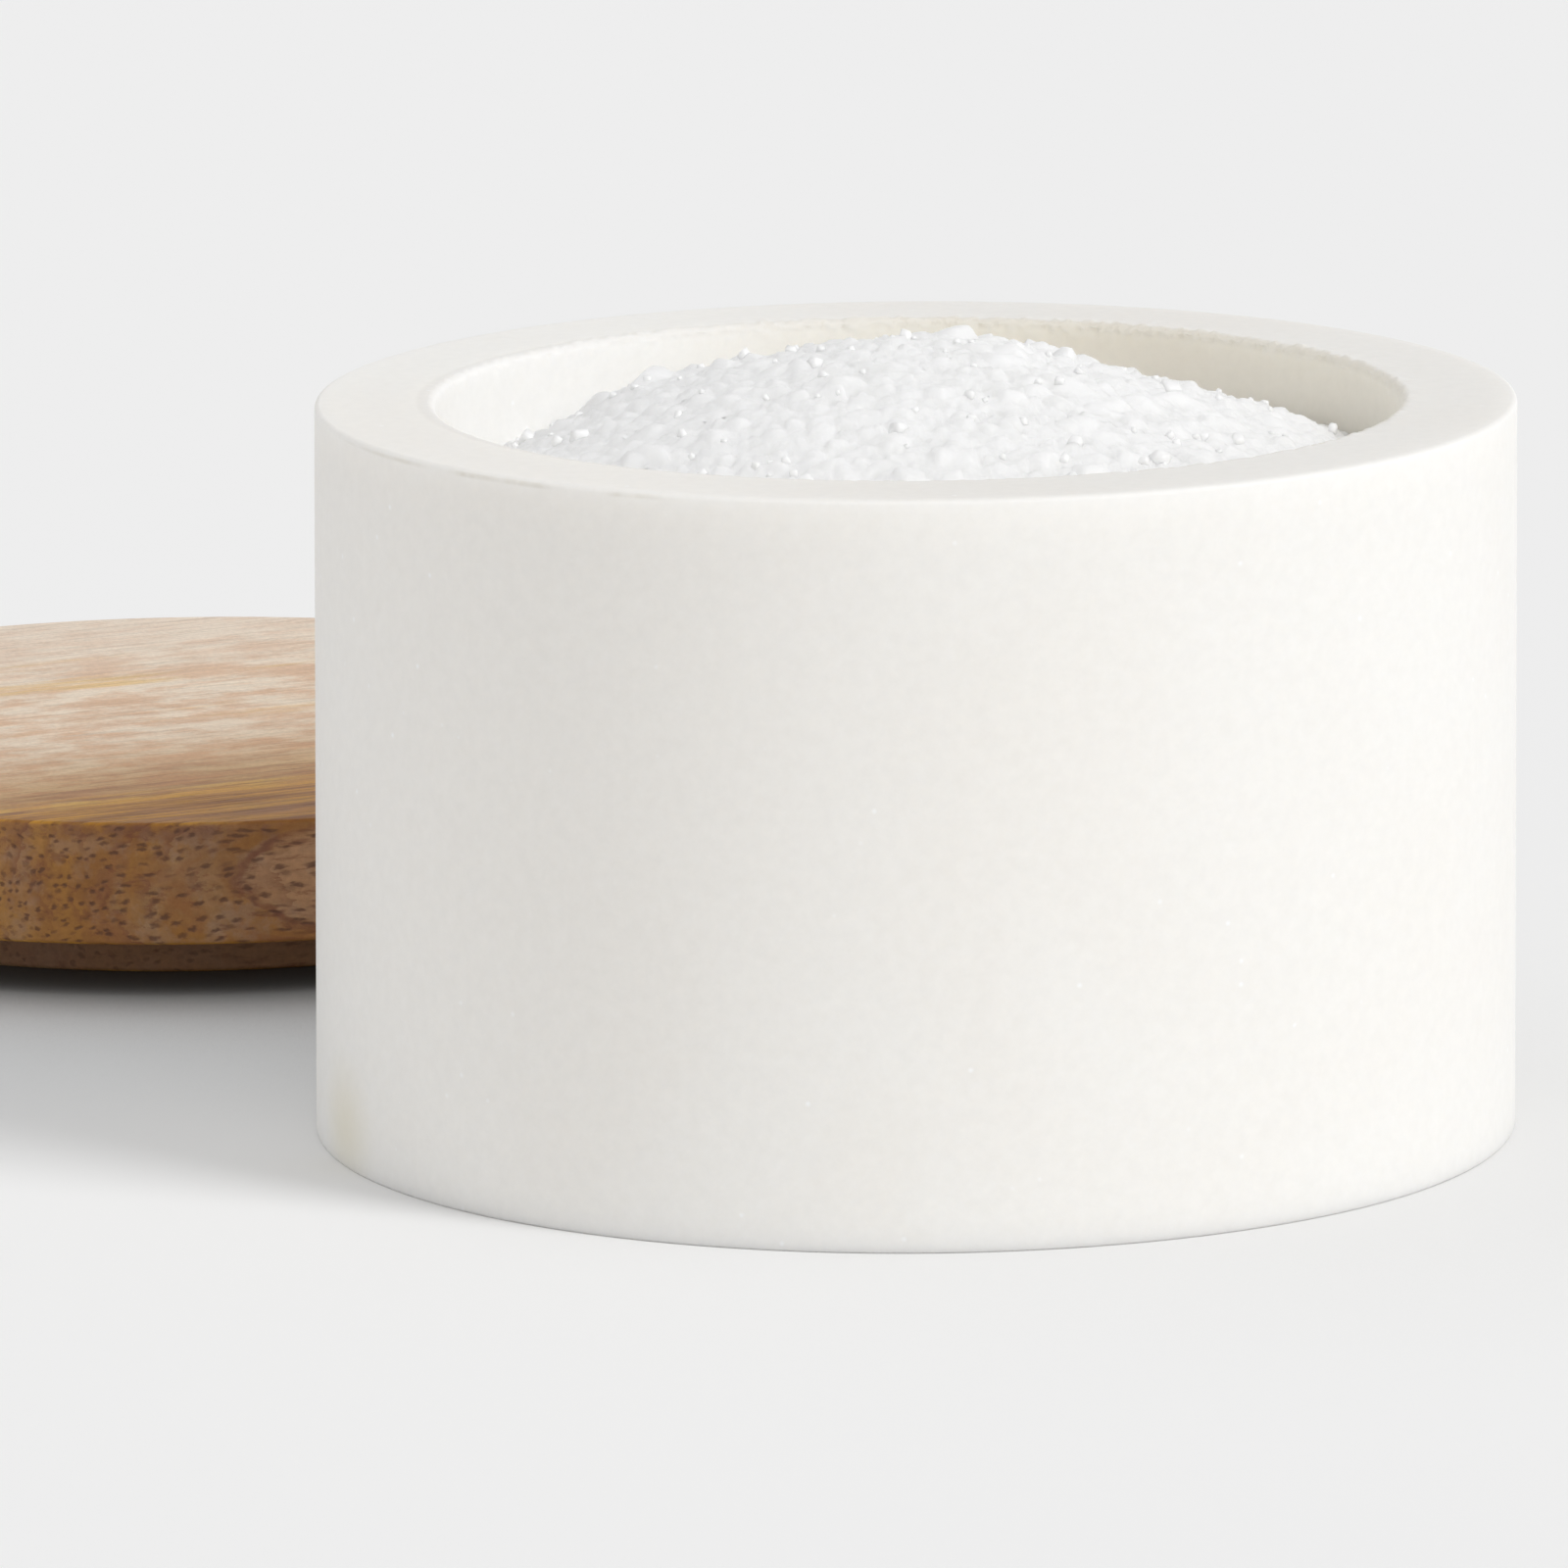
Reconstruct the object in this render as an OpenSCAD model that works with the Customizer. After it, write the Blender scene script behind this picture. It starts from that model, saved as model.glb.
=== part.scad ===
// Salt cellar: a thick-walled marble bowl heaped with coarse salt, and its turned wooden lid,
// which lies on the table beside it. Millimetres, +Z up, origin at the middle of the bowl's base.

/* [Bowl] */
// Outside diameter of the bowl
bowl_d = 102; // [90:1:120]
// Height of the bowl from its base to its rim
bowl_h = 62.6; // [54:0.2:76]
// Thickness of the bowl's wall
wall_t = 9.8; // [7:0.2:13]
// Thickness of the bowl's floor under the salt
floor_t = 10; // [6:0.5:16]
// Radius of the rim's outer edge
rim_outer_round = 1.2; // [0.4:0.1:3]
// Radius of the rim's inner edge
rim_inner_round = 1.3; // [0.4:0.1:3]
// Radius of the edge round the bowl's base
foot_round = 2; // [0.6:0.1:5]
// Radius of the cove where the hollow's wall runs into its floor
cove_round = 6; // [2:0.5:12]

/* [Lid] */
// Thickness of the lid's disc
disc_t = 11.1; // [7:0.1:16]
// How far the plug under the disc reaches into the bowl
plug_h = 4.6; // [2.5:0.1:8]
// Space all round between the plug and the bowl's mouth
plug_gap = 0.4; // [0.2:0.1:1.2]
// Radius of the lid's top edge
disc_top_round = 0.8; // [0.3:0.1:3]
// Radius of the lid's lower edge
disc_low_round = 0.6; // [0.3:0.1:3]
// Radius of the edge round the plug's foot
plug_round = 0.5; // [0.2:0.1:1.5]
// Gap on the table between the bowl and the lid that was taken off
lid_gap = 20.9; // [5:0.1:60]
// Direction in which the lid lies from the bowl, in degrees from +X
lid_bearing = 123; // [0:1:359]

/* [Salt] */
// How far the heap's peak stands above the rim
heap_rise = 5; // [-8:0.5:7]
// Steepness of the heap's flanks far from the peak, as rise over run
heap_slope_share = 0.43; // [0.2:0.01:0.5]
// Distance from the peak over which the heap's top is rounded
heap_round = 18; // [8:1:30]
// Space between the salt and the bowl's wall
salt_gap = 0.3; // [0.1:0.1:1]
// Spacing of the grains in the heap's surface
grain_pitch = 1.7; // [1.6:0.1:2.8]
// How far single grains stand out of the heap's surface
grain_rise = 0.45; // [0.1:0.05:0.7]
// Length of an average coarse crystal
crystal_l = 2.4; // [1.4:0.1:3.2]
// Number of coarse crystals lying in the heap's surface
crystal_count = 110; // [20:1:130]

/* [Hidden] */

// Overrun of every cut past the face that it opens
over = 1;
// Segments of the turned pieces and of the round edges in their sections
turn_fn = 180;
edge_fn = 64;

bowl_r = bowl_d / 2;
cavity_r = bowl_r - wall_t;

// The disc lies flush with the bowl's wall when the lid is on
disc_r = bowl_r;
plug_r = cavity_r - plug_gap;
lid_distance = bowl_r + lid_gap + disc_r;

salt_r = cavity_r - salt_gap;
peak_z = bowl_h + heap_rise;
// Steps in which the salt follows the cove
cove_steps = 4;
// Soft swellings and hollows of the heap: place, height and width as shares of the salt's radius
lobe_shares = [
    [-0.56, 0.28, 0.034, 0.17],
    [-0.86, 0.16, -0.028, 0.12],
    [0.40, 0.20, -0.020, 0.14],
    [-0.30, -0.46, 0.016, 0.20],
    [0.46, -0.40, -0.014, 0.18],
    [0.10, -0.74, 0.014, 0.16],
    [0.66, 0.34, 0.012, 0.12]
];
// Share of its spacing by which a grain may lie out of line
stray_share = 0.34;
// Share of the salt's radius that the coarse crystals cover
crystal_spread_share = 0.87;
// Width and height of a crystal as shares of its length, and what the bevels leave of each end
crystal_w_share = 0.86;
crystal_h_share = 0.72;
bevel_share = 0.66;
// How much a crystal's size varies, and how deep its middle sits in the heap
crystal_vary_share = 0.35;
crystal_sink_share = 0.12;
// Turn from one crystal to the next, which spreads them evenly over a disc
golden_angle = 137.508;
// Starts of the three series of chance numbers
grain_seed = 11;
crystal_seed = 23;
turn_seed = 37;

// A rectangle standing on the turning axis, with its outer lower and upper corners rounded
module turned_block(r, h, low_round, top_round) {
    square([r - low_round, low_round]);
    translate([0, low_round]) square([r, h - low_round - top_round]);
    translate([0, h - top_round]) square([r - top_round, top_round]);
    translate([r - low_round, low_round]) circle(low_round);
    translate([r - top_round, h - top_round]) circle(top_round);
}

// The hollow: a straight bore with a cove round its floor, open at the top
module cavity_section() {
    translate([0, floor_t]) square([cavity_r - cove_round, cove_round]);
    translate([cavity_r - cove_round, floor_t + cove_round]) circle(cove_round);
    translate([0, floor_t + cove_round]) square([cavity_r, bowl_h - floor_t - cove_round + over]);
}

// What is taken off the mouth's corner to round it
module mouth_section() {
    difference() {
        translate([cavity_r, bowl_h - rim_inner_round])
            square([rim_inner_round, rim_inner_round + over]);
        translate([cavity_r + rim_inner_round, bowl_h - rim_inner_round]) circle(rim_inner_round);
    }
}

// Keeps a section on the outer side of the turning axis
module right_half(r, h) {
    intersection() {
        children();
        translate([0, -over]) square([r + over, h + 2 * over]);
    }
}

module bowl() {
    color([0.93, 0.92, 0.89])
        rotate_extrude($fn = turn_fn)
            right_half(bowl_r, bowl_h)
                difference() {
                    turned_block(bowl_r, bowl_h, foot_round, rim_outer_round, $fn = edge_fn);
                    cavity_section($fn = edge_fn);
                    mouth_section($fn = edge_fn);
                }
}

// The lid stands on its plug. Disc and plug are turned from one piece of wood, so the plug's
// section runs on into the disc.
module lid() {
    color([0.74, 0.56, 0.40])
        rotate(lid_bearing)
            translate([lid_distance, 0])
                rotate_extrude($fn = turn_fn)
                    right_half(disc_r, plug_h + disc_t) {
                        turned_block(plug_r, plug_h + over, plug_round, over / 2, $fn = edge_fn);
                        translate([0, plug_h])
                            turned_block(disc_r, disc_t, disc_low_round, disc_top_round, $fn = edge_fn);
                    }
}

// Height of the smooth heap: a cone with a rounded top, plus the lobes
function lobe_z(x, y) = salt_r * [for (s = lobe_shares)
    s[2] * exp(-(pow(x / salt_r - s[0], 2) + pow(y / salt_r - s[1], 2)) / (2 * s[3] * s[3]))]
    * [for (s = lobe_shares) 1];
function cone_z(r) = peak_z - heap_slope_share * (sqrt(r * r + heap_round * heap_round) - heap_round);
function heap_z(x, y) = cone_z(sqrt(x * x + y * y)) + lobe_z(x, y);

// The surface's grains lie on rings, 6 on the first, 12 on the second and so on
rings = round(salt_r / grain_pitch);
ring_step = salt_r / rings;
function ring_start(k) = k == 0 ? 0 : 1 + 3 * k * (k - 1);
function on_ring(k, i) = k == 0 ? 0 : ring_start(k) + (i % (6 * k));
grain_total = ring_start(rings + 1);
grain_chance = rands(-1, 1, 3 * grain_total, grain_seed);

// Grains on the last ring touch the wall's gap, so they don't stray sideways
function grain_at(k, i) =
    let (
        n = on_ring(k, i),
        stray = k == rings ? 0 : stray_share * ring_step,
        angle = k == 0 ? 0 : 60 * i / k,
        x = k * ring_step * cos(angle) + stray * grain_chance[3 * n],
        y = k * ring_step * sin(angle) + stray * grain_chance[3 * n + 1]
    )
    [x, y, heap_z(x, y) + grain_rise * grain_chance[3 * n + 2]];

grain_points = [for (k = [0 : rings], i = [0 : max(6 * k - 1, 0)]) grain_at(k, i)];
grain_faces = [for (k = [1 : rings], side = [0 : 5], j = [0 : k - 1]) each concat(
    [[on_ring(k, side * k + j + 1), on_ring(k, side * k + j), on_ring(k - 1, side * (k - 1) + j)]],
    j == k - 1 ? [] : [[
        on_ring(k, side * k + j + 1),
        on_ring(k - 1, side * (k - 1) + j),
        on_ring(k - 1, side * (k - 1) + j + 1)
    ]]
)];

// Under the last ring the salt stands straight down the wall and round the cove to the floor
edge_count = 6 * rings;
function skirt_point(step, i) =
    let (
        turn = 90 * step / cove_steps,
        r = salt_r - cove_round * (1 - cos(turn)),
        angle = 360 * i / edge_count
    )
    [r * cos(angle), r * sin(angle), floor_t + cove_round * (1 - sin(turn))];
skirt_points = [for (step = [0 : cove_steps], i = [0 : edge_count - 1]) skirt_point(step, i)];
function on_skirt(step, i) = step < 0
    ? on_ring(rings, i)
    : grain_total + step * edge_count + (i % edge_count);
skirt_faces = [for (step = [0 : cove_steps], i = [0 : edge_count - 1]) each [
    [on_skirt(step - 1, i), on_skirt(step - 1, i + 1), on_skirt(step, i + 1)],
    [on_skirt(step - 1, i), on_skirt(step, i + 1), on_skirt(step, i)]
]];
floor_face = [for (i = [0 : edge_count - 1]) on_skirt(cove_steps, i)];

module heap_body() {
    polyhedron(
        points = concat(grain_points, skirt_points),
        faces = concat(grain_faces, skirt_faces, [floor_face])
    );
}

// A block of salt whose two ends are bevelled all round
module crystal(l) {
    size = l * [1, crystal_w_share, crystal_h_share];
    hull() {
        cube([size[0], size[1] * bevel_share, size[2] * bevel_share], center = true);
        cube([size[0] * bevel_share, size[1], size[2]], center = true);
    }
}

crystal_chance = rands(-1, 1, crystal_count, crystal_seed);
crystal_turns = rands(0, 360, 3 * crystal_count, turn_seed);
// The outermost crystals stay clear of the wall, whatever way they lie
crystal_field_r = min(salt_r * crystal_spread_share, salt_r - crystal_l * (1 + crystal_vary_share) / 2);

module coarse_crystals() {
    for (i = [0 : crystal_count - 1]) {
        r = crystal_field_r * sqrt((i + 0.5) / crystal_count);
        x = r * cos(golden_angle * i);
        y = r * sin(golden_angle * i);
        l = crystal_l * (1 + crystal_vary_share * crystal_chance[i]);
        translate([x, y, heap_z(x, y) - l * crystal_sink_share])
            rotate([crystal_turns[3 * i], crystal_turns[3 * i + 1], crystal_turns[3 * i + 2]])
                crystal(l);
    }
}

module salt_heap() {
    color([0.97, 0.97, 0.97]) {
        heap_body();
        coarse_crystals();
    }
}

bowl();
salt_heap();
lid();
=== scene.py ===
# Dresses the salt cellar: a marble bowl heaped with coarse salt, and its turned wooden lid beside it.
# Everything is in metres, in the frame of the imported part: the bowl's base stands on z = 0 at the origin.
import math

import bpy
import numpy as np
from mathutils import Matrix, Vector


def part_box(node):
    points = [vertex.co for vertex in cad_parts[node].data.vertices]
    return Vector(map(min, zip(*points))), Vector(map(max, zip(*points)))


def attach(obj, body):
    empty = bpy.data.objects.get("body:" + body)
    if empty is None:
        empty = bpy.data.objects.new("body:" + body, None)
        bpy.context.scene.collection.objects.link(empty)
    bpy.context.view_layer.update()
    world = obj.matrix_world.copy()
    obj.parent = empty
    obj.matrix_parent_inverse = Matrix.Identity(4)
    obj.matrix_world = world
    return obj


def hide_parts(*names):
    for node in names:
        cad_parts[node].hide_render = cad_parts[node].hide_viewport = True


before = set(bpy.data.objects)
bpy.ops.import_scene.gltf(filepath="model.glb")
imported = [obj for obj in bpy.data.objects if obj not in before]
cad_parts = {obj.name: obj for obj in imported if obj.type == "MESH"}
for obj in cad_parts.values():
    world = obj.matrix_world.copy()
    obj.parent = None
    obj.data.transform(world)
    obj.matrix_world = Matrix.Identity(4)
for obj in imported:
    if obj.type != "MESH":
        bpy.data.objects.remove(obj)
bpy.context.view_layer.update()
scene = bpy.context.scene
scene.view_settings.view_transform = "Standard"
mm = 0.001

bowlLow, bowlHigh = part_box("bowl")
lidLow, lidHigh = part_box("lid")
saltLow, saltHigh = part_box("salt_heap")
bowlRadius = (bowlHigh[0] - bowlLow[0]) / 2
bowlHeight = bowlHigh[2]
lidRadius = (lidHigh[0] - lidLow[0]) / 2
lidSpot = Vector(((lidLow[0] + lidHigh[0]) / 2, (lidLow[1] + lidHigh[1]) / 2, 0))
saltRadius = (saltHigh[0] - saltLow[0]) / 2


cameraView = {
    "spot": (0.15 * mm, -1151.56 * mm, 255.72 * mm),
    "yaw": -0.0098,  # radians to the right of +Y
    "pitch": 0.1942,  # radians below level
    "roll": -0.0073,
    "lens": 316.86,  # millimetres on a sensor of the width below
    "sensor": 36,
    "seesFrom": 0.01,
    "seesTo": 50,
}


def makeCamera(view):
    data = bpy.data.cameras.new("camera")
    camera = bpy.data.objects.new("camera", data)
    scene.collection.objects.link(camera)
    data.lens = view["lens"]
    data.sensor_width = view["sensor"]
    data.clip_start = view["seesFrom"]
    data.clip_end = view["seesTo"]
    yaw, pitch, roll = view["yaw"], view["pitch"], view["roll"]
    ahead = Vector((math.sin(yaw) * math.cos(pitch), math.cos(yaw) * math.cos(pitch), -math.sin(pitch)))
    levelRight = Vector((math.cos(yaw), -math.sin(yaw), 0))
    levelUp = levelRight.cross(ahead)
    right = math.cos(roll) * levelRight + math.sin(roll) * levelUp
    up = right.cross(ahead)
    turn = Matrix((right, up, -ahead)).transposed().to_4x4()
    camera.matrix_world = Matrix.Translation(view["spot"]) @ turn
    scene.camera = camera
    print("camera placed")


makeCamera(cameraView)


# A node of that type, with its settings and the values of its unlinked inputs
def addNode(tree, kind, settings=None, **values):
    made = tree.nodes.new(kind)
    for name, value in (settings or {}).items():
        setattr(made, name, value)
    for name, value in values.items():
        made.inputs[name.replace("_", " ")].default_value = value
    return made


# A math node on two values, either of which may be a number or a socket
def mathNode(tree, operation, first, second=0.0, clamp=False):
    made = addNode(tree, "ShaderNodeMath", {"operation": operation, "use_clamp": clamp})
    for socket, value in zip(made.inputs, (first, second)):
        if isinstance(value, (int, float)):
            socket.default_value = value
        else:
            tree.links.new(value, socket)
    return made.outputs[0]


# Several values multiplied together
def product(tree, first, *others):
    for value in others:
        first = mathNode(tree, "MULTIPLY", first, value)
    return first


# A value carried from one range to another, smoothly or straight, and clamped
def rangeNode(tree, value, fromLow, fromHigh, toLow=0.0, toHigh=1.0, kind="SMOOTHSTEP"):
    made = addNode(tree, "ShaderNodeMapRange", {"interpolation_type": kind})
    tree.links.new(value, made.inputs["Value"])
    made.inputs["From Min"].default_value = fromLow
    made.inputs["From Max"].default_value = fromHigh
    made.inputs["To Min"].default_value = toLow
    made.inputs["To Max"].default_value = toHigh
    return made.outputs["Result"]


# Two colours mixed by a factor, each a colour or a socket
def mixColour(tree, factor, first, second, blend="MIX"):
    made = addNode(tree, "ShaderNodeMix", {"data_type": "RGBA", "blend_type": blend})
    for socket, value in ((made.inputs[0], factor), (made.inputs[6], first), (made.inputs[7], second)):
        if isinstance(value, bpy.types.NodeSocket):
            tree.links.new(value, socket)
        elif isinstance(value, (int, float)):
            socket.default_value = value
        else:
            socket.default_value = (*value, 1)
    return made.outputs[2]


# A tone that keeps a share of each of its colours where the mask is 1
def tinted(tree, mask, tone, share):
    return mixColour(tree, mask, tone, share, "MULTIPLY")


# A tone made lighter and darker by a fine pattern: a least and a largest share for the pattern's low and high
def speckled(tree, tone, pattern, least, largest, low=0.3, high=0.7):
    return tinted(tree, 1.0, tone, rangeNode(tree, pattern, low, high, least, largest, "LINEAR"))


# A noise texture read at a vector, with its scale in features per metre
def noiseNode(tree, vector, scale, detail=2.0, roughness=0.5, distortion=0.0):
    made = addNode(tree, "ShaderNodeTexNoise", {"noise_dimensions": "3D"},
                   Scale=scale, Detail=detail, Roughness=roughness, Distortion=distortion)
    tree.links.new(vector, made.inputs["Vector"])
    return made.outputs["Fac"]


# The three parts of a vector
def splitVector(tree, vector):
    made = addNode(tree, "ShaderNodeSeparateXYZ")
    tree.links.new(vector, made.inputs[0])
    return made.outputs


# A vector made of three values, each a number or a socket
def joinedVector(tree, *parts):
    made = addNode(tree, "ShaderNodeCombineXYZ")
    for socket, value in zip(made.inputs, parts):
        if isinstance(value, (int, float)):
            socket.default_value = value
        else:
            tree.links.new(value, socket)
    return made.outputs[0]


# A vector multiplied along each axis
def stretched(tree, vector, stretch):
    made = addNode(tree, "ShaderNodeVectorMath", {"operation": "MULTIPLY"})
    made.inputs[1].default_value = stretch
    tree.links.new(vector, made.inputs[0])
    return made.outputs[0]


# Distance of a vector from a fixed spot
def distanceNode(tree, vector, spot):
    made = addNode(tree, "ShaderNodeVectorMath", {"operation": "DISTANCE"})
    made.inputs[1].default_value = spot
    tree.links.new(vector, made.inputs[0])
    return made.outputs["Value"]


# Length of a vector made of three values
def lengthNode(tree, *parts):
    made = addNode(tree, "ShaderNodeVectorMath", {"operation": "LENGTH"})
    tree.links.new(joinedVector(tree, *parts), made.inputs[0])
    return made.outputs["Value"]


# Object coordinates moved to an origin and turned about Z
def mappedPlace(tree, origin=(0, 0, 0), turn=0.0):
    place = addNode(tree, "ShaderNodeTexCoord").outputs["Object"]
    moved = addNode(tree, "ShaderNodeVectorMath", {"operation": "SUBTRACT"})
    moved.inputs[1].default_value = origin
    tree.links.new(place, moved.inputs[0])
    turned = addNode(tree, "ShaderNodeMapping", Rotation=(0, 0, turn))
    tree.links.new(moved.outputs[0], turned.inputs["Vector"])
    return turned.outputs[0]


# How far the surface faces upwards, from -1 to 1
def facingUp(tree):
    return splitVector(tree, addNode(tree, "ShaderNodeNewGeometry").outputs["Normal"])["Z"]


# A new shader node group with the named inputs and outputs
def newGroup(name, inputs, outputs):
    group = bpy.data.node_groups.new(name, "ShaderNodeTree")
    for label, kind, value in inputs:
        socket = group.interface.new_socket(label, in_out="INPUT", socket_type=kind)
        if value is not None:
            socket.default_value = value
    for label, kind in outputs:
        group.interface.new_socket(label, in_out="OUTPUT", socket_type=kind)
    start = group.nodes.new("NodeGroupInput")
    end = group.nodes.new("NodeGroupOutput")
    return group, start.outputs, end.inputs


# A group placed in a material. Each of its inputs is given a socket, a number or a colour.
def placeGroup(tree, group, values):
    made = tree.nodes.new("ShaderNodeGroup")
    made.node_tree = group
    for name, value in values.items():
        if isinstance(value, bpy.types.NodeSocket):
            tree.links.new(value, made.inputs[name])
        elif isinstance(value, tuple):
            made.inputs[name].default_value = (*value, 1)
        else:
            made.inputs[name].default_value = value
    return made.outputs


# A material with an empty tree but for its Principled shader and output
def newMaterial(name, **values):
    material = bpy.data.materials.new(name)
    material.use_nodes = True
    tree = material.node_tree
    shader = tree.nodes["Principled BSDF"]
    for label, value in values.items():
        shader.inputs[label.replace("_", " ")].default_value = value
    return material, tree, shader


# The shader's normal, bumped by a height in metres
def bumpNode(tree, shader, height, strength):
    made = addNode(tree, "ShaderNodeBump", Strength=strength, Distance=1.0)
    tree.links.new(height, made.inputs["Height"])
    tree.links.new(made.outputs["Normal"], shader.inputs["Normal"])


# Smooth chance heights over a plane, from -1 to 1: a table of random numbers on a square lattice,
# blended between its four nearest points with an s-curve in each direction. It repeats after its size.
def softNoise(x, y, seed, size=128):
    table = np.random.default_rng(seed).uniform(-1, 1, (size, size))
    column, row = np.floor(x).astype(int), np.floor(y).astype(int)
    across, along = x - column, y - row
    across, along = across * across * (3 - 2 * across), along * along * (3 - 2 * along)
    left, right = column % size, (column + 1) % size
    near, far = row % size, (row + 1) % size
    nearSide = table[near, left] * (1 - across) + table[near, right] * across
    farSide = table[far, left] * (1 - across) + table[far, right] * across
    return nearSide * (1 - along) + farSide * along


# Part of a round edge in a profile: radius and height at even steps from one angle to another
def arcPoints(centre, radius, fromDegrees, toDegrees, steps):
    angle = np.radians(np.linspace(fromDegrees, toDegrees, steps))
    return np.stack([centre[0] + radius * np.cos(angle), centre[1] + radius * np.sin(angle)], axis=1)


# Even steps along a straight stretch of a profile, without its two ends
def straightPoints(start, end, steps):
    share = np.linspace(0, 1, steps + 2)[1:-1, None]
    return np.array(start) * (1 - share) + np.array(end) * share


# Angles of evenly spread columns, from 0 to just short of 2 pi
def columnAngles(columns):
    return 2 * np.pi * np.arange(columns) / columns


# A profile of (radius, height) rows turned about the z axis: row i, column j lies at the angle
# 2 pi j / columns. The result has the shape rows, columns, 3.
def turnedGrid(profile, columns):
    angle = columnAngles(columns)
    radius = profile[:, 0:1]
    height = np.broadcast_to(profile[:, 1:2], (len(profile), columns))
    return np.stack([radius * np.cos(angle), radius * np.sin(angle), height], axis=2)


# A mesh object from points, four-cornered faces and three-cornered faces
def meshPiece(name, points, quads, triangles, material):
    mesh = bpy.data.meshes.new(name)
    corners = np.concatenate([quads.ravel(), triangles.ravel()]).astype(np.int32)
    counts = np.concatenate([np.full(len(quads), 4), np.full(len(triangles), 3)]).astype(np.int32)
    mesh.vertices.add(len(points))
    mesh.vertices.foreach_set("co", points.astype(np.float32).ravel())
    mesh.loops.add(len(corners))
    mesh.loops.foreach_set("vertex_index", corners)
    mesh.polygons.add(len(counts))
    mesh.polygons.foreach_set("loop_start", np.concatenate([[0], np.cumsum(counts)[:-1]]).astype(np.int32))
    mesh.polygons.foreach_set("use_smooth", np.ones(len(counts), dtype=bool))
    mesh.update(calc_edges=True)
    mesh.validate()
    mesh.materials.append(material)
    piece = bpy.data.objects.new(name, mesh)
    scene.collection.objects.link(piece)
    return piece


# Joins the rings of a turned grid into a closed skin, with a fan of triangles to a pole at each end
def turnedPiece(name, grid, firstPole, lastPole, material):
    rows, columns = grid.shape[:2]
    here = np.arange(rows * columns).reshape(rows, columns)
    beside = np.roll(here, -1, axis=1)
    quads = np.stack([here[:-1], beside[:-1], beside[1:], here[1:]], axis=2).reshape(-1, 4)
    first = np.full(columns, rows * columns)
    firstFan = np.stack([first, beside[0], here[0]], axis=1)
    lastFan = np.stack([here[-1], beside[-1], first + 1], axis=1)
    points = np.concatenate([grid.reshape(-1, 3), [firstPole], [lastPole]])
    return meshPiece(name, points, quads, np.concatenate([firstFan, lastFan]), material)


bowlShape = {
    "wall": 9.8 * mm,
    "floor": 10.0 * mm,
    "outerEdge": 0.5 * mm,
    "mouthEdge": 0.7 * mm,
    "footEdge": 0.2 * mm,
    "cove": 6.0 * mm,
    "columns": 960,
    "fineDepth": 3 * mm,  # the mesh has closer rows down to this depth under the mouth
    # the wall is a hair out of round, by waves: how many times round, their strength and start in radians
    "outOfRound": 0.05 * mm,
    "waves": ((2, 1.0, 0.7), (3, 0.6, 2.1), (7, 0.4, 0.0)),
    # the mouth's edge is ground rough: its grains stand in and out, near the edge only
    "mouthCrumble": 0.24 * mm,
    "crumbleGrain": (0.55 * mm, 0.5 * mm),  # the size of these grains along the edge and across it
    "crumbleReach": 1.3 * mm,
    "crumbleShares": (0.6, 0.4),  # its mean strength, and how much that rises and falls round the mouth
    "crumbleBearing": 50.0,  # degrees from +X; the edge is roughest there
    "crumbleSeed": 5,
    "leanFoot": -0.26 * mm,  # how far the left wall stands to the right of its true place, at its foot
    "leanRim": 0.40 * mm,  # and at its rim
    "leanFade": 3,  # the larger this is, the sooner the lean fades on the way round
}
mouthRadius = bowlRadius - bowlShape["wall"]


# The bowl was finished by hand and is a little untrue on its left. Its outer wall there leans by the
# amounts above, and the bore by twice as much. This fades towards the bowl's middle, and on the way round
# from the left, past the front or the back, to the right.
def handLean(x, y, z):
    away = np.hypot(x, y)
    leftward = (0.5 - 0.5 * x / np.maximum(away, mm)) ** bowlShape["leanFade"]
    depth = np.minimum(2 * (away / mouthRadius) ** 2, 1 + (bowlRadius - away) / bowlShape["wall"])
    lean = bowlShape["leanFoot"] + (bowlShape["leanRim"] - bowlShape["leanFoot"]) * z / bowlHeight
    return x + leftward * depth * lean


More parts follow.
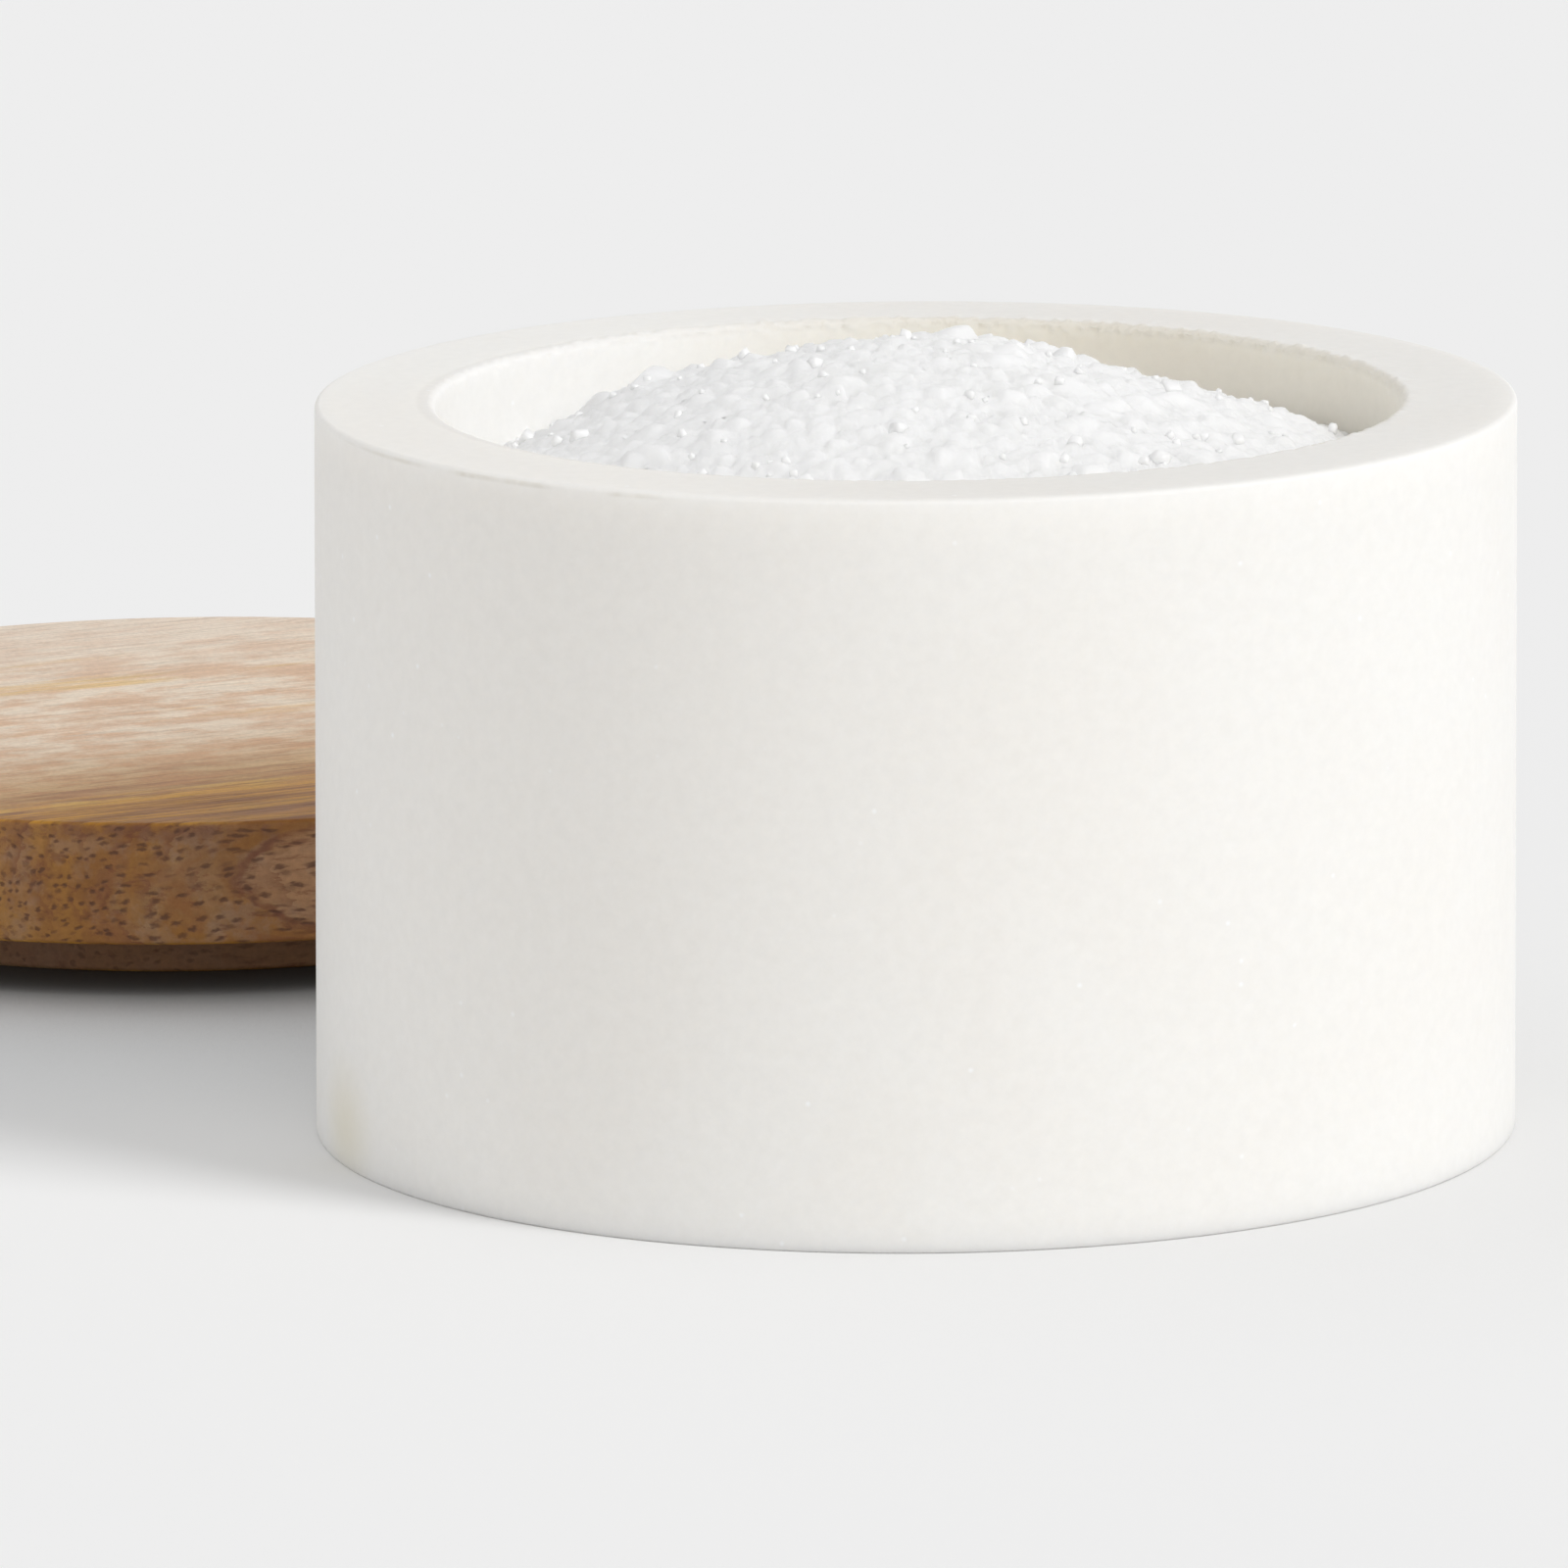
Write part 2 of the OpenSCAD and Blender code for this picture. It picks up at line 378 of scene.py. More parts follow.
marbleFinish = {
    "stone": (0.905, 0.892, 0.862),
    "cloud": (0.893, 0.868, 0.828),  # warmer clouds in the stone
    "cloudPattern": (22, 3, 0.5, 0.6),  # features per metre, detail, roughness, distortion
    "cloudEdge": (0.46, 0.68),
    "cloudShare": 0.55,
    "warmSpot": (-34 * mm, -38 * mm, 44 * mm),  # the broadest warm cloud, at the left of the front
    "warmReach": (62 * mm, 10 * mm),
    "grainPattern": (800, 4, 0.7),  # the stone's sugary grain
    "grainShares": (0.978, 1.016),
    "grainHeight": 0.03 * mm,
    "grainStrength": 0.6,  # how strongly that relief shows
    # sparkles: painted glints, a few lighter dots in the stone's colour
    "sparkle": (0.985, 0.985, 0.98),
    "sparkleDensity": 900.0,
    "sparkleShare": 0.02,
    "sparkleReach": 0.26,
    # what the hollow and the wall's flat top keep of the tone, at the left and at the right, and where the
    # one goes over into the other. This is painted light and shade: the hollow's left, which faces the key,
    # keeps a clean white, its shaded right is darker and warmer, and the top is darker, more so on the right
    "bore": ((0.995, 1.0, 1.012), (0.965, 0.938, 0.875)),
    "rim": ((0.985, 0.985, 0.982), (0.925, 0.92, 0.915)),
    "leftToRight": (-30 * mm, 12 * mm),
    "boreFrom": (mouthRadius + 0.9 * mm, mouthRadius + 0.2 * mm),
    "rimFacing": (0.5, 0.95),  # how far a surface faces upwards where it begins to be rim, and where it is
    # the mouth's ground edge is a little darker. Dirt lies in its pits at the back, and more at the right.
    "groundEdge": (0.93, 0.925, 0.92),
    "groundAt": (mouthRadius + 0.2 * mm, bowlHeight - 0.2 * mm, 0),  # radius and height
    "groundReach": (0.9 * mm, 0.3 * mm),
    "pitPattern": (1100, 2, 0.6),
    "pitEdge": (0.52, 0.62),
    "pitShare": 0.4,
    "pitsBack": (10 * mm, 34 * mm),
    "pitsRight": (-20 * mm, 4 * mm),
    "pitsLeftShare": 0.2,
    "edgeDirt": (0.66, 0.62, 0.54),
    # a thin line of wear along the rim's outer edge at the front
    "wearAt": (bowlRadius - 0.03 * mm, bowlHeight - 0.42 * mm, 0),
    "wearReach": (0.34 * mm, 0.08 * mm),
    "wearPattern": (260, 3, 0.6),
    "wearBreaks": (0.36, 0.58, 0.15, 0.6),  # two values of the pattern, and how strong the line is there
    # it is broken into marks, from left to right: where each sets in, is full, begins to fade and is gone
    "wearMarks": ((-50.0 * mm, -48.0 * mm, -42.5 * mm, -39.5 * mm),
                  (-38.7 * mm, -36.7 * mm, -31.5 * mm, -28.5 * mm),
                  (-25.5 * mm, -23.5 * mm, -23.0 * mm, -20.0 * mm)),
    "wearFront": (-6 * mm, -14 * mm),
    "stain": (0.80, 0.75, 0.60),
    "stainSpot": (-47.9 * mm, -17.5 * mm, 3.2 * mm),  # it lies faint and low at the left
    "stainReach": 8.0 * mm,
    "stainShare": 0.6,
    "depth": 2.6 * mm,  # how far light travels inside the stone
}


# Sparse dots: cells of a Voronoi pattern whose own chance number lies under the share. Each dot is
# strongest in its middle and fades out to its reach, which is a share of a cell.
def makeSparkleGroup():
    group, start, end = newGroup(
        "sparkleDots",
        [("Vector", "NodeSocketVector", None), ("Density", "NodeSocketFloat", 900.0),
         ("Share", "NodeSocketFloat", 0.1), ("Reach", "NodeSocketFloat", 0.35)],
        [("Dots", "NodeSocketFloat")],
    )
    cells = addNode(group, "ShaderNodeTexVoronoi", {"voronoi_dimensions": "3D", "feature": "F1"})
    group.links.new(start["Vector"], cells.inputs["Vector"])
    group.links.new(start["Density"], cells.inputs["Scale"])
    chance = addNode(group, "ShaderNodeSeparateColor")
    group.links.new(cells.outputs["Color"], chance.inputs[0])
    picked = mathNode(group, "LESS_THAN", chance.outputs[0], start["Share"])
    outward = mathNode(group, "DIVIDE", cells.outputs["Distance"], start["Reach"])
    near = mathNode(group, "SUBTRACT", 1.0, outward, True)
    group.links.new(product(group, picked, near), end["Dots"])
    return group


sparkleDots = makeSparkleGroup()


# The stone's own tone, warm clouds and sugary grain, with a few sparkles that are painted glints
def stoneTone(tree, finish, place, grain):
    clouds = noiseNode(tree, place, *finish["cloudPattern"])
    warm = rangeNode(tree, distanceNode(tree, place, finish["warmSpot"]), *finish["warmReach"])
    clouds = rangeNode(tree, clouds, *finish["cloudEdge"], 0.0, finish["cloudShare"])
    tone = mixColour(tree, mathNode(tree, "ADD", warm, clouds, True), finish["stone"], finish["cloud"])
    tone = speckled(tree, tone, grain, *finish["grainShares"])
    sparkles = placeGroup(tree, sparkleDots, {
        "Vector": place, "Density": finish["sparkleDensity"],
        "Share": finish["sparkleShare"], "Reach": finish["sparkleReach"],
    })
    return mixColour(tree, sparkles["Dots"], tone, finish["sparkle"])


# The worn marks: a line where the section passes close to the rim's edge, shown from mark to mark
def wornLine(tree, finish, place, section):
    parts = splitVector(tree, place)
    line = rangeNode(tree, distanceNode(tree, section, finish["wearAt"]), *finish["wearReach"])
    broken = rangeNode(tree, noiseNode(tree, place, *finish["wearPattern"]), *finish["wearBreaks"])
    worn = 0.0
    for start, full, fading, gone in finish["wearMarks"]:
        mark = product(tree, rangeNode(tree, parts["X"], start, full),
                       rangeNode(tree, parts["X"], gone, fading))
        worn = mathNode(tree, "MAXIMUM", mark, worn)
    return product(tree, line, broken, worn, rangeNode(tree, parts["Y"], *finish["wearFront"]))


# White marble: the stone's tone, painted light and shade on the hollow and the rim, what the mouth's edge
# keeps of it, stain and wear
def makeMarble(finish):
    material, tree, shader = newMaterial(
        "marble", Roughness=0.55, Subsurface_Weight=0.6, Subsurface_Radius=(1.0, 0.96, 0.9),
        Subsurface_Scale=finish["depth"], IOR=1.5, Specular_IOR_Level=0.12)
    place = mappedPlace(tree)
    east, north, up = splitVector(tree, place)
    radius = lengthNode(tree, east, north, 0.0)
    section = joinedVector(tree, radius, up, 0.0)
    grain = noiseNode(tree, place, *finish["grainPattern"])
    tone = stoneTone(tree, finish, place, grain)

    # painted light and shade: lit at the left of the hollow and the rim, shaded at the right
    toRight = rangeNode(tree, east, *finish["leftToRight"])
    bore = rangeNode(tree, radius, *finish["boreFrom"])
    tone = tinted(tree, bore, tone, mixColour(tree, toRight, *finish["bore"]))
    rim = rangeNode(tree, facingUp(tree), *finish["rimFacing"])
    tone = tinted(tree, rim, tone, mixColour(tree, toRight, *finish["rim"]))

    ground = rangeNode(tree, distanceNode(tree, section, finish["groundAt"]), *finish["groundReach"])
    tone = tinted(tree, ground, tone, finish["groundEdge"])
    pits = noiseNode(tree, place, *finish["pitPattern"])
    pits = rangeNode(tree, pits, *finish["pitEdge"], 0.0, finish["pitShare"])
    pits = product(tree, pits, ground, rangeNode(tree, north, *finish["pitsBack"]),
                   rangeNode(tree, east, *finish["pitsRight"], finish["pitsLeftShare"], 1.0))
    tone = mixColour(tree, pits, tone, finish["edgeDirt"])

    stain = distanceNode(tree, place, finish["stainSpot"])
    stain = rangeNode(tree, stain, finish["stainReach"], 0.0, 0.0, finish["stainShare"])
    tone = mixColour(tree, stain, tone, finish["stain"])
    tone = mixColour(tree, wornLine(tree, finish, place, section), tone, finish["edgeDirt"])
    tree.links.new(tone, shader.inputs["Base Color"])
    bumpNode(tree, shader, product(tree, grain, finish["grainHeight"]), finish["grainStrength"])
    return material


# How the mouth's edge crumbles: soft noise along the edge and across it, strongest at the edge itself and
# fading as a bell curve of the distance from it. It has a row for each row of the profile, and a column for
# each angle.
def mouthCrumble(shape, profile, angle):
    squaredGap = (profile[:, 0] - mouthRadius) ** 2 + (profile[:, 1] - bowlHeight) ** 2
    nearEdge = np.exp(-squaredGap / shape["crumbleReach"] ** 2)
    grainAlong, grainAcross = shape["crumbleGrain"]
    along = angle * mouthRadius / grainAlong
    across = np.cumsum(np.hypot(*np.diff(profile, axis=0, prepend=profile[:1]).T)) / grainAcross
    mean, swing = shape["crumbleShares"]
    rough = mean + swing * np.cos(angle - np.radians(shape["crumbleBearing"]))
    noise = softNoise(along[None, :], across[:, None], shape["crumbleSeed"])
    return shape["mouthCrumble"] * nearEdge[:, None] * rough[None, :] * noise


# The bowl is its section turned about its own axis, and then made untrue as handwork is
def makeBowl(shape):
    outer, mouth, foot, cove = shape["outerEdge"], shape["mouthEdge"], shape["footEdge"], shape["cove"]
    r, h, low = bowlRadius, bowlHeight, shape["floor"]
    fine = h - shape["fineDepth"]
    profile = np.concatenate([
        straightPoints((0, 0), (r - foot, 0), 5),
        arcPoints((r - foot, foot), foot, -90, 0, 10),
        straightPoints((r, foot), (r, h - outer), 14),
        arcPoints((r - outer, h - outer), outer, 0, 90, 10),
        straightPoints((r - outer, h), (mouthRadius + mouth, h), 8),
        arcPoints((mouthRadius + mouth, h - mouth), mouth, 90, 180, 12),
        straightPoints((mouthRadius, h - mouth), (mouthRadius, fine), 6),
        straightPoints((mouthRadius, fine), (mouthRadius, low + cove), 24),
        arcPoints((mouthRadius - cove, low + cove), cove, 0, -90, 8),
        straightPoints((mouthRadius - cove, low), (0, low), 3),
    ])
    grid = turnedGrid(profile, shape["columns"])
    angle = columnAngles(shape["columns"])
    waves = sum(share * np.sin(times * angle + start) for times, share, start in shape["waves"])
    wobble = shape["outOfRound"] * waves
    crumble = mouthCrumble(shape, profile, angle)
    reach = (wobble[None, :] + crumble) * (profile[:, 0:1] / r)
    grid[:, :, 0] += reach * np.cos(angle)
    grid[:, :, 1] += reach * np.sin(angle)
    grid[:, :, 2] += crumble
    grid[:, :, 0] = handLean(*np.moveaxis(grid, 2, 0))
    bowl = turnedPiece("marble_bowl", grid, (0, 0, 0), (0, 0, low), makeMarble(marbleFinish))
    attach(bowl, "bowl")
    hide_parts("bowl")
    print("bowl turned")


makeBowl(bowlShape)


lidShape = {
    "disc": 11.1 * mm,
    "plug": 4.6 * mm,
    "plugRadius": mouthRadius - 0.4 * mm,
    "topEdge": 0.5 * mm,
    "lowEdge": 0.45 * mm,
    "plugEdge": 0.5 * mm,
    "columns": 720,
}


# A reach in this dictionary is two distances behind the lid's front edge, across the grain: where an effect
# starts and where it is full. An edge is the two values of a pattern between which the effect sets in.
woodFinish = {
    "grainTurn": 28.0,  # degrees from +X towards +Y
    "grainRise": 0.06,  # how far the grain climbs over a length along it
    "pithAhead": 3.5 * mm,  # the tree's middle lies this far outside the lid's front edge
    "pithHeight": 11.0 * mm,
    # noise drawn out along the grain: 0.2 makes its features five times as long as they are wide. Then
    # features per metre, detail, roughness and, for the threads, distortion
    "grainPatterns": {
        "sway": (0.2, 70, 2, 0.5),
        "ripple": (0.25, 420, 3, 0.6),
        "splinter": (0.1, 800, 3, 0.6),
        "clouds": (1, 230, 4, 0.65),
        "fibre": (0.06, 1300, 3, 0.65),
        "grit": (1, 1900, 3, 0.7),
        "lineDepth": (0.12, 190, 2, 0.5),
        "threads": (0.05, 1000, 4, 0.7, 0.4),
    },
    # noise that follows the rings, with the same values
    "ringPatterns": {
        "bands": (0.35, 250, 5, 0.66),
        "golds": (0.12, 150, 4, 0.7),
        "streaks": (0.05, 480, 4, 0.65),
    },
    "ringUp": 0.3,  # the same upwards, for all three
    "stray": {"sway": 4 * mm, "ripple": 1.1 * mm, "splinter": 1.5 * mm},  # how far rings stray from circles
    "rose": (0.655, 0.435, 0.285),
    "cream": (0.79, 0.67, 0.535),
    "bandEdge": (0.40, 0.60),
    "bandShares": (0.65, 0.35),  # how much of the bands is their own pattern, and how much clouds
    "sapAndSheen": (0.79, 0.68, 0.57),  # paler wood far from the pith, at the back: partly the youngest wood, partly painted sheen
    "sapAndSheenReach": (62 * mm, 98 * mm),
    "sapAndSheenShare": 0.6,
    "gold": (0.72, 0.49, 0.21),
    "goldEdge": (0.58, 0.74),
    "goldShare": 0.8,
    # golden wood near the front: distance from the pith, and how far from there it is full and is gone
    "goldBand": (19.5 * mm, 5.5 * mm, 10.5 * mm),
    "goldBandLift": 0.18,  # how much the gold's pattern is raised there
    "goldStreak": (78.5 * mm, 1.5 * mm, 5.0 * mm),  # and in the far half
    "goldStreakLift": 0.14,
    "goldStreakEnd": (10 * mm, -2 * mm),  # where that ends along the grain
    "heartAndShade": (0.50, 0.37, 0.22),  # what the wood near the pith, at the front, keeps of its lightness: partly older wood, partly painted shade
    "heartAndShadeReach": (58 * mm, 4 * mm),
    "frontShade": (1.04, 0.87, 0.58),  # what the front keeps: painted shade, darker and more golden
    "frontShadeReach": (46 * mm, 14 * mm),
    # streaks at the front: lighter gold in the golden band, and dark brown
    "lightStreak": (1.36, 1.44, 0.90),
    "lightEdge": (0.46, 0.60),
    "darkStreak": (0.62, 0.52, 0.46),
    "darkEdge": (0.50, 0.36),
    "darkShare": 0.75,
    "sideStreaks": -0.7,  # what a side adds to their strength
    "sideFacing": (0.9, 0.3),  # how far a surface faces up or down where it begins to be side and where it is
    "side": (0.86, 0.90, 1.40),  # what cut ends and edges keep of the tone at the front
    "sideFar": (0.64, 0.56, 0.46),  # and away from the front, darker still, which keeps the top's painted sheen off them
    "sideReach": (30 * mm, 14 * mm),
    "dusk": (0.36, 0.27, 0.23),  # dull brown clouds in cut ends
    "duskEdge": (0.48, 0.62),
    "duskShare": 0.225,
    "ringLine": (0.17, 0.06, 0.035),  # a dark line at the start of each ring
    "ringPitch": 1.9 * mm,
    "lineWidth": (0.02, 0.3),  # where it begins to fade and is gone, as shares of the pitch
    "lineEdge": (0.42, 0.62),
    "lineShares": (0.05, 0.5),
    "lineReach": (40 * mm, 10 * mm),
    "lineFarShare": 0.3,
    "boldRing": (10.3 * mm, 0.06 * mm, 0.39 * mm),  # the darkest ring line, given as the golden band is
    "boldEdge": (0.36, 0.62),
    "boldShares": (0.30, 0.80),
    "coreBounceLight": (0.66, 0.42, 0.27),  # the lighter wood inside that ring: painted light, the bowl's light thrown back onto the side
    "coreBounceFrom": (10.9 * mm, 9.4 * mm),  # distances from the pith
    "coreBounceShare": 0.34,
    "plugTone": (0.36, 0.195, 0.118),  # the plug is handled less and has a duller brown
    "plugShare": 0.7,
    "plugFade": 0.4 * mm,
    "plugPores": 0.5,  # what its pores keep of their strength
    "cornerDepth": (2.0 * mm, 0.5 * mm),  # the oil-dark corner under the top's edge: from and to this depth
    "cornerEdge": (0.44, 0.60),
    "cornerShares": (0.05, 0.55),
    "threadEdge": (0.54, 0.66),
    "threadReach": (34 * mm, 8 * mm),
    "threadShares": (0.05, 0.5),
    "fibreShares": (0.93, 1.06),
    "gritShares": (0.90, 1.09),
    "pore": (0.10, 0.045, 0.03),
    "poreReach": (30 * mm, 6 * mm),
    "poreShares": (0.12, 0.4),  # how dark pores are on the top, at the back and at the front
    "poreSide": (0.75, 0.75, 0.75),  # and on the sides
    "poreDepth": -0.06 * mm,
    "fibreHeight": 0.03 * mm,
    "reliefStrength": 0.8,  # how strongly pores and fibres show in the light
    "sheenEdge": (0.3, 0.7),
    "roughness": (0.45, 0.58),  # of the rose bands and of the cream ones
}


poreShape = {
    "spacing": 0.85 * mm,
    "radius": 0.15 * mm,
    "walls": (1.9, 0.5),  # a pore is gone and is full at these shares of its radius
    "filled": (0.1, 0.7, 0.45, 1.0),  # some are filled: chance numbers, and how dark that leaves them
    "drawnOut": 4.0,  # how much longer the sway's features are along the grain than across it
    # the tubes sway slowly by millimetres, and their walls quickly by tenths: features per metre and reach
    "sways": ((32, 5.0 * mm), (900, 0.35 * mm)),
}


# Pores: thin tubes along the grain, drawn as the cells of a flat Voronoi pattern across it that sway a little
# and have ragged walls
def makePoreGroup(shape):
    group, start, end = newGroup(
        "grainPores",
        [(name, "NodeSocketFloat", 0.0) for name in ("Across", "Up", "Along")],
        [("Pores", "NodeSocketFloat")],
    )
    across = product(group, start["Across"], shape["drawnOut"])
    lengthwise = joinedVector(group, start["Along"], across, product(group, start["Up"], shape["drawnOut"]))
    place = joinedVector(group, start["Across"], start["Up"], 0.0)
    for scale, reach in shape["sways"]:
        sway = addNode(group, "ShaderNodeTexNoise", Scale=scale, Detail=1.0)
        group.links.new(lengthwise, sway.inputs["Vector"])
        shift = addNode(group, "ShaderNodeVectorMath", {"operation": "SCALE"}, Scale=reach)
        group.links.new(sway.outputs["Color"], shift.inputs[0])
        moved = addNode(group, "ShaderNodeVectorMath", {"operation": "ADD"})
        group.links.new(place, moved.inputs[0])
        group.links.new(shift.outputs[0], moved.inputs[1])
        place = moved.outputs[0]
    cells = addNode(group, "ShaderNodeTexVoronoi", {"voronoi_dimensions": "2D", "feature": "F1"})
    group.links.new(place, cells.inputs["Vector"])
    cells.inputs["Scale"].default_value = 1 / shape["spacing"]
    outward = product(group, cells.outputs["Distance"], shape["spacing"] / shape["radius"])
    chance = addNode(group, "ShaderNodeSeparateColor")
    group.links.new(cells.outputs["Color"], chance.inputs[0])
    hollow = rangeNode(group, chance.outputs[0], *shape["filled"])
    group.links.new(product(group, rangeNode(group, outward, *shape["walls"]), hollow), end["Pores"])
    return group


grainPores = makePoreGroup(poreShape)


# A noise pattern drawn out along the grain
def grainPattern(tree, finish, at, name):
    stretch, *settings = finish["grainPatterns"][name]
    return noiseNode(tree, stretched(tree, at["place"], (stretch, 1, 1)), *settings)


# A noise pattern that follows the rings
def ringPattern(tree, finish, at, name):
    stretch, *settings = finish["ringPatterns"][name]
    along, up = product(tree, at["along"], stretch), product(tree, at["up"], finish["ringUp"])
    return noiseNode(tree, joinedVector(tree, at["ring"], along, up), *settings)


# Where a point lies in the timber, as sockets. The growth rings are circles about a pith line that runs along
# the grain, made to stray by noise. The side mask is 1 on walls and 0 on the top and the underside.
def timberPlace(tree, finish):
    place = mappedPlace(tree, tuple(lidSpot), -math.radians(finish["grainTurn"]))
    along, across, height = splitVector(tree, place)
    across = mathNode(tree, "ADD", across, lidRadius + finish["pithAhead"])
    up = mathNode(tree, "SUBTRACT", height, finish["pithHeight"])
    up = mathNode(tree, "SUBTRACT", up, product(tree, along, finish["grainRise"]))
    away = lengthNode(tree, 0.0, across, up)
    at = {"place": place, "along": along, "across": across, "up": up, "height": height, "ring": away}
    for name, reach in finish["stray"].items():
        stray = product(tree, grainPattern(tree, finish, at, name), reach)
        at["ring"] = mathNode(tree, "ADD", at["ring"], stray)
    at["fromEdge"] = mathNode(tree, "SUBTRACT", away, finish["pithAhead"])
    at["side"] = rangeNode(tree, mathNode(tree, "ABSOLUTE", facingUp(tree)), *finish["sideFacing"])
    at["clouds"] = grainPattern(tree, finish, at, "clouds")
    own, cloudy = finish["bandShares"]
    bands = product(tree, ringPattern(tree, finish, at, "bands"), own)
    at["bands"] = mathNode(tree, "ADD", bands, product(tree, at["clouds"], cloudy))
    return at


# A mask that is 1 near a ring's distance from the pith, and 0 further from it than the far reach
def inBand(tree, at, centre, near, far):
    gap = mathNode(tree, "ABSOLUTE", mathNode(tree, "SUBTRACT", at["ring"], centre))
    return rangeNode(tree, gap, far, near)


# Bands of rose and cream that go over into paler wood at the back, partly sapwood and partly painted sheen,
# with golden wood in a band near the front, in a streak of the far half that ends about the middle, and in a
# few threads
def youngWood(tree, finish, at):
    tone = mixColour(tree, rangeNode(tree, at["bands"], *finish["bandEdge"]), finish["rose"], finish["cream"])
    # painted sheen: the top grows paler towards the back
    sapAndSheen = rangeNode(tree, at["fromEdge"], *finish["sapAndSheenReach"], 0.0, finish["sapAndSheenShare"])
    tone = mixColour(tree, sapAndSheen, tone, finish["sapAndSheen"])
    streak = product(tree, inBand(tree, at, *finish["goldStreak"]),
                     rangeNode(tree, at["along"], *finish["goldStreakEnd"]), finish["goldStreakLift"])
    band = product(tree, inBand(tree, at, *finish["goldBand"]), finish["goldBandLift"])
    golds = mathNode(tree, "ADD", ringPattern(tree, finish, at, "golds"), streak)
    golds = rangeNode(tree, mathNode(tree, "ADD", golds, band), *finish["goldEdge"], 0.0, finish["goldShare"])
    return mixColour(tree, golds, tone, finish["gold"])


# Towards the front the wood is darker, partly as older wood and partly as painted shade, and its streaks
# stand out more
def oldWood(tree, finish, at, tone):
    tone = tinted(tree, rangeNode(tree, at["fromEdge"], *finish["heartAndShadeReach"]), tone, finish["heartAndShade"])
    frontShade = rangeNode(tree, at["fromEdge"], *finish["frontShadeReach"])
    tone = tinted(tree, frontShade, tone, finish["frontShade"])
    streaks = ringPattern(tree, finish, at, "streaks")
    mostlyTop = mathNode(tree, "ADD", 1.0, product(tree, at["side"], finish["sideStreaks"]))
    bright = product(tree, rangeNode(tree, streaks, *finish["lightEdge"]),
                     inBand(tree, at, *finish["goldBand"]), mostlyTop)
    tone = tinted(tree, bright, tone, finish["lightStreak"])
    dark = rangeNode(tree, streaks, *finish["darkEdge"], 0.0, finish["darkShare"])
    return tinted(tree, product(tree, dark, frontShade, mostlyTop), tone, finish["darkStreak"])


# Cut ends have drunk more oil than the top and are cloudier
def cutEnds(tree, finish, at, tone):
    sideTone = mixColour(tree, rangeNode(tree, at["fromEdge"], *finish["sideReach"]),
                         finish["sideFar"], finish["side"])
    tone = tinted(tree, at["side"], tone, sideTone)
    dusk = rangeNode(tree, at["clouds"], *finish["duskEdge"], 0.0, finish["duskShare"])
    return mixColour(tree, product(tree, dusk, at["side"]), tone, finish["dusk"])


# A thin dark line at the start of each ring, broken along the grain, and one bold line round the wood nearest
# the pith, whose lighter tone is painted light thrown back from the bowl
def ringLines(tree, finish, at, tone):
    coreBounceLight = rangeNode(tree, at["ring"], *finish["coreBounceFrom"], 0.0, finish["coreBounceShare"])
    tone = mixColour(tree, coreBounceLight, tone, finish["coreBounceLight"])
    phase = mathNode(tree, "FRACT", mathNode(tree, "DIVIDE", at["ring"], finish["ringPitch"]))
    depth = grainPattern(tree, finish, at, "lineDepth")
    line = product(tree, rangeNode(tree, phase, *finish["lineWidth"], 1.0, 0.0),
                   rangeNode(tree, depth, *finish["lineEdge"], *finish["lineShares"]),
                   rangeNode(tree, at["fromEdge"], *finish["lineReach"], finish["lineFarShare"], 1.0))
    bold = product(tree, inBand(tree, at, *finish["boldRing"]),
                   rangeNode(tree, at["clouds"], *finish["boldEdge"], *finish["boldShares"]))
    return mixColour(tree, mathNode(tree, "MAXIMUM", line, bold), tone, finish["ringLine"])


# The corner under the top's edge has soaked up more oil in places, and near the front edge fine dark
# threads follow the grain
def oiledCorner(tree, finish, at, tone):
    top = lidShape["plug"] + lidShape["disc"]
    deep, shallow = finish["cornerDepth"]
    corner = product(tree, rangeNode(tree, at["height"], top - deep, top - shallow), at["side"],
                     rangeNode(tree, at["clouds"], *finish["cornerEdge"], *finish["cornerShares"]))
    tone = mixColour(tree, corner, tone, finish["ringLine"])
    threads = rangeNode(tree, grainPattern(tree, finish, at, "threads"), *finish["threadEdge"])
    reach = rangeNode(tree, at["fromEdge"], *finish["threadReach"], *finish["threadShares"])
    threads = product(tree, threads, reach)
    return mixColour(tree, threads, tone, finish["ringLine"])


